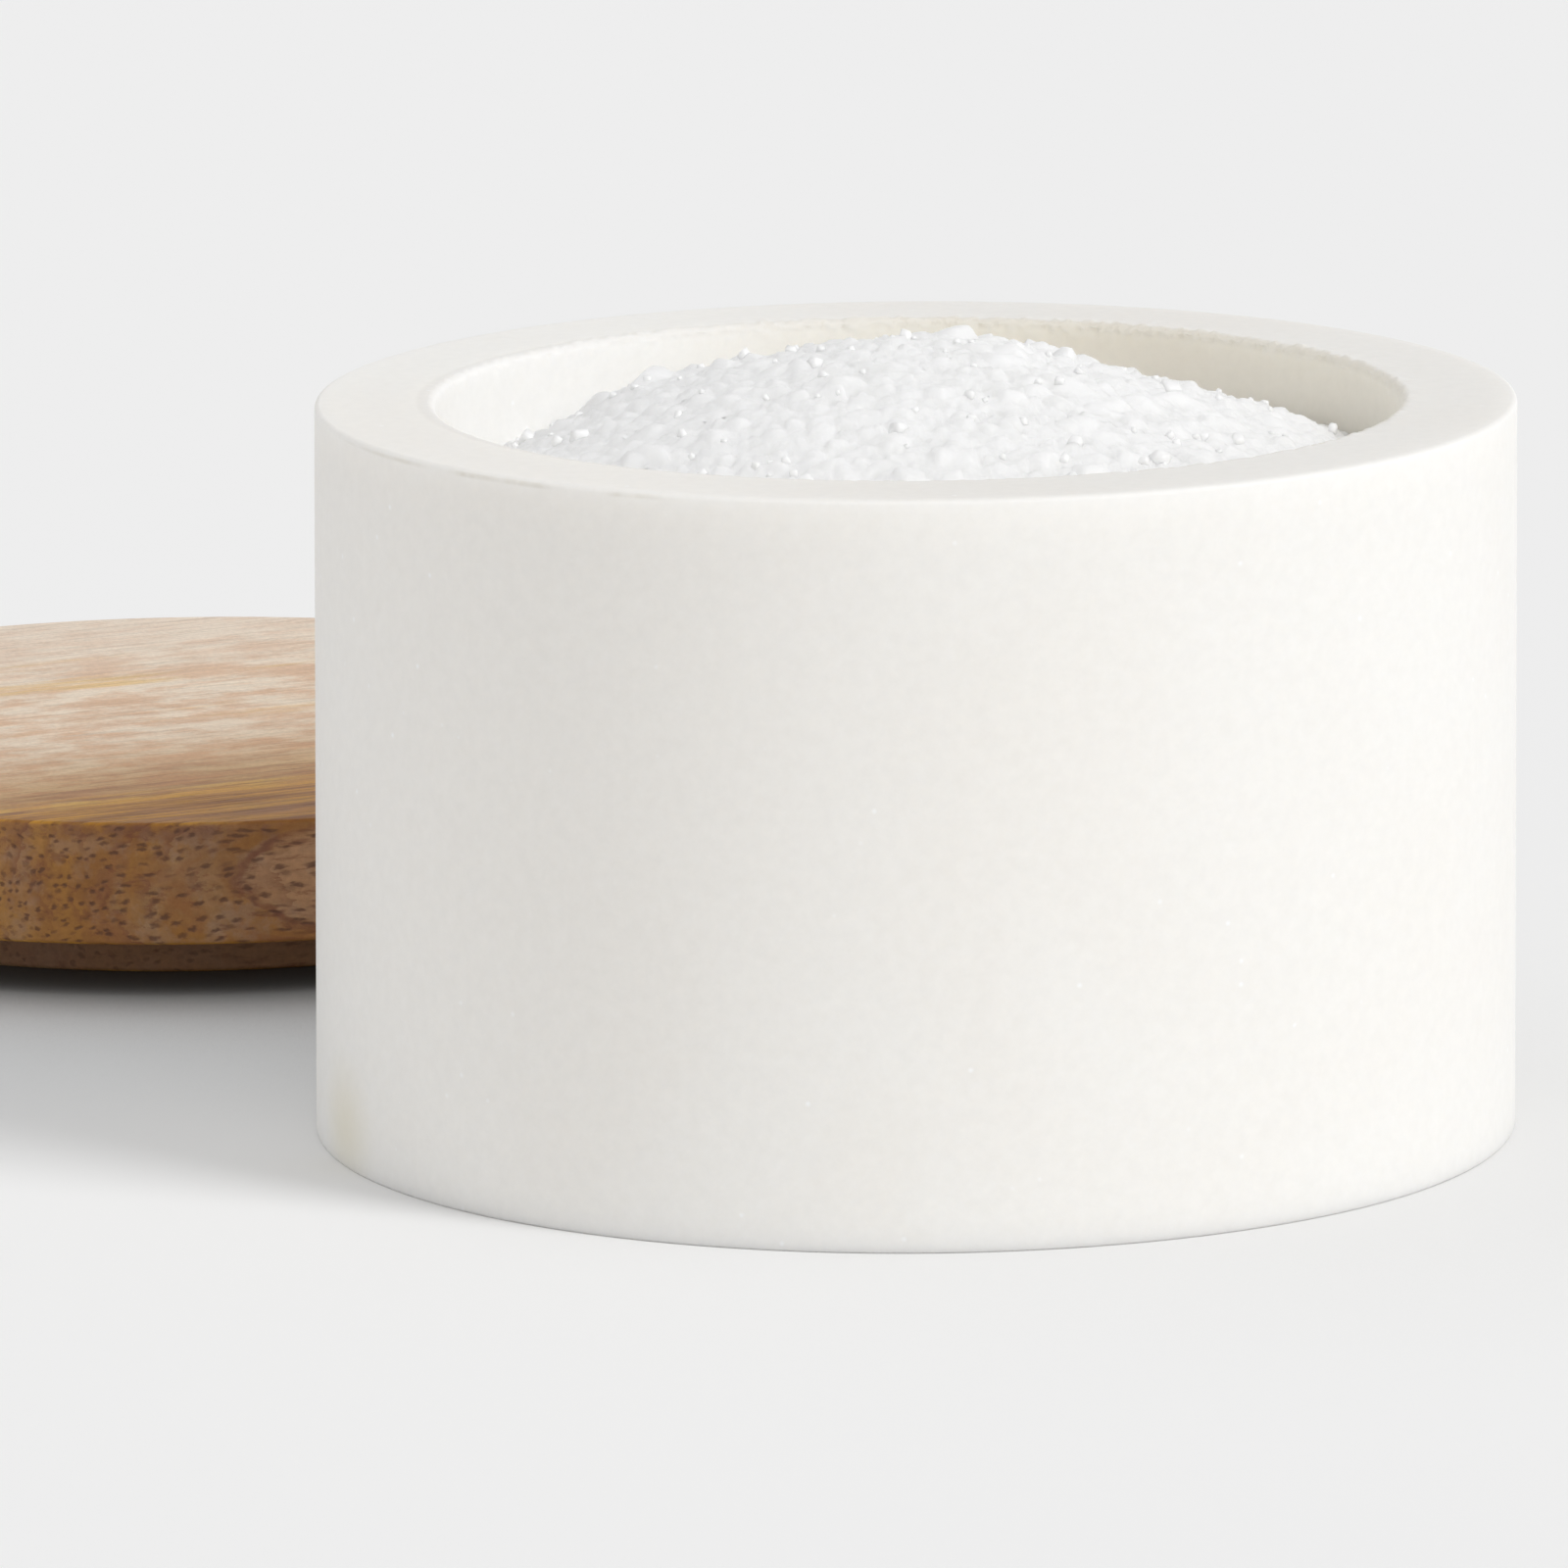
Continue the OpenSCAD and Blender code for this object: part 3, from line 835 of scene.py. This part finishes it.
# Wood as a solid, so that top, side and plug show one piece of timber
def makeWood(finish):
    material, tree, shader = newMaterial("wood", Roughness=0.55, IOR=1.45, Specular_IOR_Level=0.2)
    at = timberPlace(tree, finish)
    tone = youngWood(tree, finish, at)
    tone = oldWood(tree, finish, at, tone)
    tone = cutEnds(tree, finish, at, tone)
    tone = ringLines(tree, finish, at, tone)
    onPlug = rangeNode(tree, at["height"], lidShape["plug"], lidShape["plug"] - finish["plugFade"])
    onPlug = product(tree, onPlug, at["side"])
    tone = mixColour(tree, product(tree, onPlug, finish["plugShare"]), tone, finish["plugTone"])
    tone = oiledCorner(tree, finish, at, tone)
    fibre = grainPattern(tree, finish, at, "fibre")
    tone = speckled(tree, tone, fibre, *finish["fibreShares"])
    tone = speckled(tree, tone, grainPattern(tree, finish, at, "grit"), *finish["gritShares"])

    pores = placeGroup(tree, grainPores, {"Across": at["across"], "Up": at["up"], "Along": at["along"]})
    pores = pores["Pores"]
    poreShare = rangeNode(tree, at["fromEdge"], *finish["poreReach"], *finish["poreShares"])
    poreShare = mixColour(tree, at["side"], poreShare, finish["poreSide"])
    poreShare = product(tree, pores, poreShare, rangeNode(tree, onPlug, 0.0, 1.0, 1.0, finish["plugPores"]))
    tone = mixColour(tree, poreShare, tone, finish["pore"])
    tree.links.new(tone, shader.inputs["Base Color"])
    roughness = rangeNode(tree, at["bands"], *finish["sheenEdge"], *finish["roughness"])
    tree.links.new(roughness, shader.inputs["Roughness"])
    height = mathNode(tree, "ADD", product(tree, pores, finish["poreDepth"]),
                      product(tree, fibre, finish["fibreHeight"]))
    bumpNode(tree, shader, height, finish["reliefStrength"])
    return material


# The lid is the section of its plug and disc turned about its own axis
def makeLid(shape):
    disc, plug = shape["disc"], shape["plug"]
    top, low, edge, inner = shape["topEdge"], shape["lowEdge"], shape["plugEdge"], shape["plugRadius"]
    h, r = plug + disc, lidRadius
    profile = np.concatenate([
        straightPoints((0, 0), (inner - edge, 0), 12),
        arcPoints((inner - edge, edge), edge, -90, 0, 7),
        straightPoints((inner, edge), (inner, plug), 4),
        straightPoints((inner, plug), (r - low, plug), 5),
        arcPoints((r - low, plug + low), low, -90, 0, 7),
        straightPoints((r, plug + low), (r, h - top), 10),
        arcPoints((r - top, h - top), top, 0, 90, 9),
        straightPoints((r - top, h), (0, h), 30),
    ])
    grid = turnedGrid(profile, shape["columns"]) + np.array(lidSpot)
    peak = lidSpot + Vector((0, 0, h))
    lid = turnedPiece("wooden_lid", grid, tuple(lidSpot), tuple(peak), makeWood(woodFinish))
    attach(lid, "lid")
    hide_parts("lid")
    print("lid turned")


makeLid(lidShape)


saltShape = {
    "peak": bowlHeight + 5.0 * mm,
    "slope": 0.43,
    "round": 18.0 * mm,
    "reach": mouthRadius - 0.06 * mm,
    "steps": 298,  # squares along each side of the surface's grid
    "edgeDrop": 14 * mm,  # about how far the heap's edge lies under its peak
    # swellings and hollows: place, height and width as shares of the salt's radius
    "lobes": ((-0.56, 0.28, 0.034, 0.17), (-0.86, 0.16, -0.028, 0.12), (0.40, 0.20, -0.020, 0.14),
              (-0.30, -0.46, 0.016, 0.20), (0.46, -0.40, -0.014, 0.18), (0.10, -0.74, 0.014, 0.16),
              (0.66, 0.34, 0.012, 0.12),
              (-0.82, 0.47, -0.072, 0.11), (-0.34, 0.29, -0.044, 0.12), (-0.06, 0.22, -0.018, 0.09),
              (-0.64, 0.41, -0.026, 0.09), (0.28, 0.27, 0.012, 0.05), (0.60, 0.40, -0.011, 0.10),
              (-0.66, 0.22, -0.018, 0.08), (0.05, 0.20, 0.010, 0.06)),
    # layers of grains in the surface: spacing, smallest and largest half length, lift, share of places
    # filled, and the start of the chance numbers
    "layers": ((0.80 * mm, 0.34 * mm, 0.60 * mm, 0.0, 1.0, 31),
               (1.5 * mm, 0.60 * mm, 0.95 * mm, 0.0, 0.55, 32),
               (3.2 * mm, 1.00 * mm, 1.50 * mm, -0.10 * mm, 0.35, 33)),
    "around": 2,  # blocks are looked at this many squares away from a point, each way
    "settle": 0.50 * mm,  # how far the layers are sunk, so that they stand about the heap's own height
    "deepest": 0.7 * mm,  # the gaps between grains go no further under the smooth heap
    "leastWidth": 0.75,  # a block's three half lengths lie between this share and all of the one drawn
    "stray": 0.42,  # how far a block lies out of its square's middle, as a share of the spacing
    "sink": 0.3,  # how far it sits higher or deeper, as a share of the largest half length
    "nearlyUpright": 0.5,  # faces whose upright share is less than this are steep walls
    "leastUpright": 0.42,
    "cap": 0.62,  # where a block is worn flat, as a share of its half length
    "capTilt": 0.3,  # steepest slope of that worn face
    "soft": 0.16,  # how round a block's edges are, as a share of the largest half length
}
nowhere = -1.0  # the height of a block that isn't there, far under everything


# Height of the heap: a cone with a rounded top, plus soft lobes
def heapHeight(x, y, shape):
    away = np.sqrt(x * x + y * y + shape["round"] ** 2) - shape["round"]
    height = shape["peak"] - shape["slope"] * away
    for east, north, rise, width in shape["lobes"]:
        gap = (x / saltRadius - east) ** 2 + (y / saltRadius - north) ** 2
        height = height + saltRadius * rise * np.exp(-gap / (2 * width * width))
    return height


# Turns for many grains at once, from unit quaternions drawn at random
def randomTurns(chance, count):
    parts = chance.normal(size=(count, 4))
    w, x, y, z = (parts / np.linalg.norm(parts, axis=1, keepdims=True)).T
    return np.stack([
        np.stack([1 - 2 * (y * y + z * z), 2 * (x * y - z * w), 2 * (x * z + y * w)], axis=1),
        np.stack([2 * (x * y + z * w), 1 - 2 * (x * x + z * z), 2 * (y * z - x * w)], axis=1),
        np.stack([2 * (x * z - y * w), 2 * (y * z + x * w), 1 - 2 * (x * x + y * y)], axis=1),
    ], axis=1)


# Top of a layer of tumbled blocks, one in each square of a lattice. Over one block the height at a point is
# the least, softened, of its three upper faces and a worn cap. A face lies at (half length - slope of the
# face) / upright share over the block's middle. The layer's height is the greatest over the blocks in the
# squares about the point.
def layerTop(x, y, layer, shape):
    pitch, smallest, largest, lift, share, seed = layer
    around = shape["around"]
    cells = 2 * int(math.ceil(shape["reach"] / pitch)) + 2 * around + 3
    chance = np.random.default_rng(seed)
    turns = randomTurns(chance, cells * cells)
    faces = (turns * np.sign(turns[:, 2:3, :])).reshape(cells, cells, 3, 3)
    half = chance.uniform(smallest, largest, (cells, cells, 1))
    half = half * chance.uniform(shape["leastWidth"], 1.0, (cells, cells, 3))
    stray = chance.uniform(-shape["stray"], shape["stray"], (cells, cells, 2))
    present = chance.random((cells, cells)) < share
    sunk = lift + chance.uniform(-shape["sink"], shape["sink"], (cells, cells)) * largest
    sunk = np.where(present, sunk, nowhere)
    tilt = chance.uniform(-shape["capTilt"], shape["capTilt"], (cells, cells, 2))
    middle = cells // 2
    column, row = np.floor(x / pitch).astype(int) + middle, np.floor(y / pitch).astype(int) + middle
    top = np.full(x.shape, nowhere)
    soft = shape["soft"] * largest
    for stepRow in range(-around, around + 1):
        for stepColumn in range(-around, around + 1):
            i, j = row + stepRow, column + stepColumn
            middleX = (j - middle + 0.5 + stray[i, j, 0]) * pitch
            middleY = (i - middle + 0.5 + stray[i, j, 1]) * pitch
            east, north = (x - middleX)[:, :, None], (y - middleY)[:, :, None]
            slope = faces[i, j, 0] * east + faces[i, j, 1] * north
            # a face that stands nearly upright has its twin on the other side
            slope = np.where(faces[i, j, 2] < shape["nearlyUpright"], np.abs(slope), slope)
            planes = (half[i, j] - slope) / np.maximum(faces[i, j, 2], shape["leastUpright"])
            cap = shape["cap"] * half[i, j].mean(axis=2, keepdims=True)
            cap = cap + tilt[i, j, 0:1] * east + tilt[i, j, 1:2] * north
            planes = np.concatenate([planes, cap], axis=2)
            least = planes.min(axis=2)
            least = least - soft * np.log(np.exp((least[:, :, None] - planes) / soft).sum(axis=2))
            top = np.maximum(top, heapHeight(middleX, middleY, shape) + sunk[i, j] + least)
    return top


# Height of the salt's surface: the top of all layers, and never far under the smooth heap
def saltTop(x, y, shape):
    tops = [layerTop(x, y, layer, shape) for layer in shape["layers"]]
    return np.maximum(np.maximum.reduce(tops) - shape["settle"], heapHeight(x, y, shape) - shape["deepest"])


# What all salt has in common. The left flank of the heap, turned from the key, is made paler: painted light.
frostFinish = {
    "cloudPattern": (330, 4, 0.65),  # features per metre, detail, roughness
    "gritPattern": (2400, 3, 0.6),
    "cells": 620,  # per metre
    "softness": 0.35,
    "shares": (0.45, 0.8),  # how much of the frost is each grain's own, and how much clouds
    "edge": (0.35, 0.9),
    "leftFlankLight": (-4 * mm, -24 * mm),
    "leftFlankLightShare": 0.75,
    "gritHeight": 0.05 * mm,
    "gritStrength": 0.35,  # how strongly that relief shows
}

saltFinish = {
    "dim": (0.870, 0.870, 0.865),
    "bright": (0.985, 0.985, 0.978),
    "depth": 6.0 * mm,  # how far light travels inside the salt
    "shine": 0.2,
    "roughness": 0.45,
}

# Single grains lie on the heap, so light goes less deep in them
grainFinish = {
    "dim": (0.94, 0.94, 0.936),
    "bright": (0.970, 0.970, 0.967),
    "depth": 0.3 * mm,
    "shine": 0.35,
    "roughness": 0.3,
}


# Salt's tone goes from dim to bright with its frost, since some grains are clear and others frosted. Each
# cell of a smooth Voronoi pattern has its own chance number, to which clouds are added. Grit is fine noise.
def makeFrostGroup(finish):
    group, start, end = newGroup(
        "saltFrost",
        [("Vector", "NodeSocketVector", None), ("Dim", "NodeSocketColor", None),
         ("Bright", "NodeSocketColor", None)],
        [("Tone", "NodeSocketColor"), ("Grit", "NodeSocketFloat")],
    )
    cells = addNode(group, "ShaderNodeTexVoronoi", {"feature": "SMOOTH_F1"},
                    Scale=finish["cells"], Smoothness=finish["softness"])
    group.links.new(start["Vector"], cells.inputs["Vector"])
    chance = addNode(group, "ShaderNodeSeparateColor")
    group.links.new(cells.outputs["Color"], chance.inputs[0])
    own, cloudy = finish["shares"]
    clouds = noiseNode(group, start["Vector"], *finish["cloudPattern"])
    frost = mathNode(group, "ADD", product(group, chance.outputs[0], own), product(group, clouds, cloudy))
    tone = mixColour(group, rangeNode(group, frost, *finish["edge"]), start["Dim"], start["Bright"])
    east = splitVector(group, start["Vector"])["X"]
    # painted light: the left flank is mixed towards the bright tone
    left = rangeNode(group, east, *finish["leftFlankLight"], 0.0, finish["leftFlankLightShare"])
    group.links.new(mixColour(group, left, tone, start["Bright"]), end["Tone"])
    group.links.new(noiseNode(group, start["Vector"], *finish["gritPattern"]), end["Grit"])
    return group


saltFrost = makeFrostGroup(frostFinish)


# Salt: light travels inside it, and its grit roughens it
def makeSaltMaterial(name, finish):
    material, tree, shader = newMaterial(
        name, Roughness=finish["roughness"], Subsurface_Weight=1.0, Subsurface_Radius=(1.0, 1.0, 0.98),
        Subsurface_Scale=finish["depth"], IOR=1.5, Specular_IOR_Level=finish["shine"])
    frost = placeGroup(tree, saltFrost, {
        "Vector": mappedPlace(tree), "Dim": finish["dim"], "Bright": finish["bright"],
    })
    tree.links.new(frost["Tone"], shader.inputs["Base Color"])
    grit = product(tree, frost["Grit"], frostFinish["gritHeight"])
    bumpNode(tree, shader, grit, frostFinish["gritStrength"])
    return material


saltHeaped = makeSaltMaterial("salt_heaped", saltFinish)
saltGrains = makeSaltMaterial("salt_grains", grainFinish)


# A square grid pressed into a disc: each square ring becomes a circle of the same size, and each of its
# sides a quarter turn. Where |a| > |b| the radius is a and the angle 45 degrees times b / a, else they are b
# and 90 - 45 a / b.
def discGrid(steps, radius):
    a, b = np.meshgrid(np.linspace(-1, 1, steps + 1), np.linspace(-1, 1, steps + 1))
    wide = np.abs(a) > np.abs(b)
    larger = np.where(wide, a, b)
    share = np.where(wide, b, a) / np.where(larger == 0, 1, larger)
    angle = np.where(wide, share * np.pi / 4, np.pi / 2 - share * np.pi / 4)
    return radius * larger * np.cos(angle), radius * larger * np.sin(angle)


# The salt itself: its surface is the top of all layers of grains, and a skirt goes from its edge down the
# wall, round the cove and over the floor to a pole
def makeSaltBed(shape):
    low, cove, reach = bowlShape["floor"], bowlShape["cove"], shape["reach"]
    x, y = discGrid(shape["steps"], reach)
    z = saltTop(x, y, shape)
    here = np.arange(x.size).reshape(x.shape)
    surface = np.stack([here[:-1, :-1], here[:-1, 1:], here[1:, 1:], here[1:, :-1]], axis=2).reshape(-1, 4)
    edge = np.concatenate([here[0, :-1], here[:-1, -1], here[-1, :0:-1], here[:0:-1, 0]])
    edgeX, edgeY = x.ravel()[edge] / reach, y.ravel()[edge] / reach
    skirt = np.concatenate([
        straightPoints((reach, shape["peak"] - shape["edgeDrop"]), (reach, low + cove), 1),
        arcPoints((reach - cove, low + cove), cove, 0, -90, 6),
    ])
    rings = np.stack([skirt[:, :1] * edgeX, skirt[:, :1] * edgeY,
                      np.broadcast_to(skirt[:, 1:], (len(skirt), len(edge)))], axis=2)
    loops = np.concatenate([edge[None], x.size + np.arange(rings[:, :, 0].size).reshape(len(skirt), -1)])
    beside = np.roll(loops, -1, axis=1)
    walls = np.stack([loops[:-1], loops[1:], beside[1:], beside[:-1]], axis=2).reshape(-1, 4)
    points = np.concatenate([np.stack([x, y, z], axis=2).reshape(-1, 3), rings.reshape(-1, 3), [(0, 0, low)]])
    points[:, 0] = handLean(*points.T)
    fan = np.stack([np.full(len(edge), len(points) - 1), beside[-1], loops[-1]], axis=1)
    bed = meshPiece("salt_bed", points, np.concatenate([surface, walls]), fan, saltHeaped)
    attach(bed, "bowl")
    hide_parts("salt_heap")
    print("salt bed heaped:", len(bed.data.polygons), "faces")


grainShape = {
    "bevel": 0.62,
    "chip": 0.14,  # how far a corner may lie out of place, as a share of the half length
    "kinds": 24,
    "smaller": 1.7,  # the more this is over 1, the more of the grains are small
    "widths": (0.7, 1.0),  # least and largest width as shares of the length
    "heights": (0.6, 0.95),
    "stray": 0.15,  # how far a grain sits higher or deeper, as a share of its length
    "wallGap": 0.3 * mm,
    "wallShare": 0.55,  # and the share of its length that it keeps from the wall besides
    # name, count, smallest and largest length, lift as a share of the length, start of the chance numbers
    "sets": (("salt_grains_fine", 190, 0.5 * mm, 0.9 * mm, 0.0, 101),
             ("salt_grains_middle", 60, 0.9 * mm, 1.6 * mm, -0.05, 103),
             ("salt_grains_coarse", 6, 1.8 * mm, 2.4 * mm, -0.15, 104)),
}


# One crystal: a block whose edges and corners are cut off. Its 24 corners lie at a full half length along
# one axis and at the bevel's share along the other two. Returns corners, four-sided and three-sided faces.
def crystalBlock(bevel):
    signs = np.array([[(corner >> axis & 1) * 2 - 1 for axis in range(3)] for corner in range(8)])
    corners = np.concatenate([np.where(np.arange(3) == axis, signs, signs * bevel) for axis in range(3)])
    quads = []
    for axis in range(3):
        other = (axis + 1) % 3
        for side in (-1, 1):
            flat = [axis * 8 + k for k in range(8) if signs[k, axis] == side]
            quads.append([flat[0], flat[1], flat[3], flat[2]])
            for turn in (-1, 1):
                low, high = [k for k in range(8) if signs[k, axis] == side and signs[k, other] == turn]
                quads.append([axis * 8 + low, axis * 8 + high, other * 8 + high, other * 8 + low])
    triangles = [[k, 8 + k, 16 + k] for k in range(8)]

    def outward(face):
        a, b, c = corners[face[:3]]
        return face if np.dot(np.cross(b - a, c - b), corners[face].mean(axis=0)) > 0 else face[::-1]
    quads, triangles = (np.array([outward(face) for face in faces]) for faces in (quads, triangles))
    return corners, quads, triangles


# A scatter of grains over the heap: each is one of a few chipped blocks, stretched, turned and sunk a little
def makeGrains(name, count, smallest, largest, lift, seed, shape):
    chance = np.random.default_rng(seed)
    corners, quads, triangles = crystalBlock(shape["bevel"])
    cornerCount = len(corners)
    kinds = corners[None] + chance.uniform(-1, 1, (shape["kinds"], cornerCount, 3)) * shape["chip"]
    size = smallest + (largest - smallest) * chance.random(count) ** shape["smaller"]
    width, height = chance.uniform(*shape["widths"], count), chance.uniform(*shape["heights"], count)
    stretch = np.stack([np.ones(count), width, height], axis=1)
    inside = mouthRadius - shape["wallGap"] - shape["wallShare"] * size
    reach = np.sqrt(chance.random(count)) * inside
    angle = chance.uniform(0, 2 * np.pi, count)
    x, y = reach * np.cos(angle), reach * np.sin(angle)
    z = saltTop(x[:, None], y[:, None], saltShape)[:, 0]
    z = z + size * (lift + chance.uniform(-shape["stray"], shape["stray"], count))
    x = handLean(x, y, z)
    blocks = kinds[chance.integers(0, shape["kinds"], count)] * (stretch * size[:, None] / 2)[:, None, :]
    tumbled = np.einsum("nij,nkj->nki", randomTurns(chance, count), blocks)
    points = (tumbled + np.stack([x, y, z], axis=1)[:, None, :]).reshape(-1, 3)
    shift = cornerCount * np.arange(count)[:, None, None]
    quads = (quads[None] + shift).reshape(-1, 4)
    triangles = (triangles[None] + shift).reshape(-1, 3)
    grains = meshPiece(name, points, quads, triangles, saltGrains)
    grains.visible_shadow = False  # light passes through single grains
    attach(grains, "bowl")
    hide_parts("salt_heap")
    print(name, "scattered:", count)


makeSaltBed(saltShape)
for grainSet in grainShape["sets"]:
    makeGrains(*grainSet, grainShape)


stage = {
    "reach": 8.0,
    "floorTone": (0.918, 0.918, 0.918),
    "backTone": (0.871, 0.871, 0.871),
    # the floor's tone sinks beside what stands on it: reach, openness from and to, least share kept, and the
    # way the shade looks
    "lidShade": (18 * mm, 0.02, 0.76, 0.36, (0.0, 0.25, 0.97)),
    "lidSoftShade": (90 * mm, 0.20, 0.98, 0.42, (-0.40, 0.35, 0.85)),
    "wideShade": (70 * mm, 0.35, 0.95, 0.87, (-0.70, 0.25, 0.67)),
    "shadeSamples": 6,
    # how far outside the lid's edge the first and the second of these set in and are full
    "lidShadeFrom": (13 * mm, 5 * mm),
    "lidSoftShadeFrom": (65 * mm, 20 * mm),
    "lidBounce": (0.975, 0.99, 1.0),  # takes the wood's reflection out of the floor
    "skyLeft": (0.77, 0.77, 0.77),  # light from near the horizon on the left
    "skyRight": (0.64, 0.64, 0.64),  # and on the right, where the key stands
    "skyTurn": (0.1, 0.95),  # how far to the right the one goes over into the other
    "skyHigh": (0.58, 0.58, 0.58),  # light from overhead
    "skyRise": (0.3, 0.8),  # and how far up that starts
    "keyLight": 1.42,
    "keyBearing": 58.0,  # degrees to the right of the camera's side
    "keyHeight": 42.0,
    "keyWidth": 18.0,
}


# A wide floor whose tone sinks beside the lid and the bowl, as under soft light
def makeFloor(stage):
    material, tree, shader = newMaterial("floor", Roughness=0.9, Specular_IOR_Level=0.1)

    def shadeNear(distance, low, high, least, way):
        samples = {"samples": stage["shadeSamples"]}
        near = addNode(tree, "ShaderNodeAmbientOcclusion", samples, Distance=distance)
        tree.links.new(joinedVector(tree, *way), near.inputs["Normal"])
        return rangeNode(tree, near.outputs["AO"], low, high, least, 1.0)

    fromLid = distanceNode(tree, mappedPlace(tree), lidSpot)

    def outsideLid(start, full):
        return rangeNode(tree, fromLid, lidRadius + start, lidRadius + full)

    tone = tinted(tree, 1.0, stage["floorTone"], shadeNear(*stage["wideShade"]))
    tone = tinted(tree, outsideLid(*stage["lidShadeFrom"]), tone, shadeNear(*stage["lidShade"]))
    soft = tinted(tree, 1.0, stage["lidBounce"], shadeNear(*stage["lidSoftShade"]))
    tone = tinted(tree, outsideLid(*stage["lidSoftShadeFrom"]), tone, soft)
    tree.links.new(tone, shader.inputs["Base Color"])
    reach = stage["reach"]
    points = np.array([(-reach, -reach, 0), (reach, -reach, 0), (reach, reach, 0), (-reach, reach, 0)])
    floor = meshPiece("floor", points, np.array([[0, 1, 2, 3]]), np.zeros((0, 3), int), material)
    print("floor laid")


# The world lights the object evenly, and shows the camera, glossy and clear rays the backdrop's tone
def makeWorld(stage):
    world = bpy.data.worlds.new("world")
    world.use_nodes = True
    scene.world = world
    tree = world.node_tree
    tree.nodes.clear()
    path = addNode(tree, "ShaderNodeLightPath")
    seen = mathNode(tree, "MAXIMUM", path.outputs["Is Camera Ray"], path.outputs["Is Glossy Ray"])
    seen = mathNode(tree, "MAXIMUM", seen, path.outputs["Is Transmission Ray"])
    sky = splitVector(tree, addNode(tree, "ShaderNodeTexCoord").outputs["Generated"])
    low = mixColour(tree, rangeNode(tree, sky["X"], *stage["skyTurn"]), stage["skyLeft"], stage["skyRight"])
    lit = mixColour(tree, rangeNode(tree, sky["Z"], *stage["skyRise"]), low, stage["skyHigh"])
    back = addNode(tree, "ShaderNodeBackground", Strength=1.0)
    tree.links.new(mixColour(tree, seen, lit, stage["backTone"]), back.inputs["Color"])
    end = addNode(tree, "ShaderNodeOutputWorld")
    tree.links.new(back.outputs[0], end.inputs["Surface"])
    print("world lit")


# One broad light from the right and the front
def makeKey(stage):
    data = bpy.data.lights.new("key", "SUN")
    data.energy = stage["keyLight"]
    data.angle = math.radians(stage["keyWidth"])
    key = bpy.data.objects.new("key", data)
    scene.collection.objects.link(key)
    bearing, height = math.radians(stage["keyBearing"]), math.radians(stage["keyHeight"])
    level = math.cos(height)
    towards = Vector((math.sin(bearing) * level, -math.cos(bearing) * level, math.sin(height)))
    key.rotation_mode = "QUATERNION"
    key.rotation_quaternion = towards.to_track_quat("Z", "Y")
    print("key light set")


makeFloor(stage)
makeWorld(stage)
makeKey(stage)
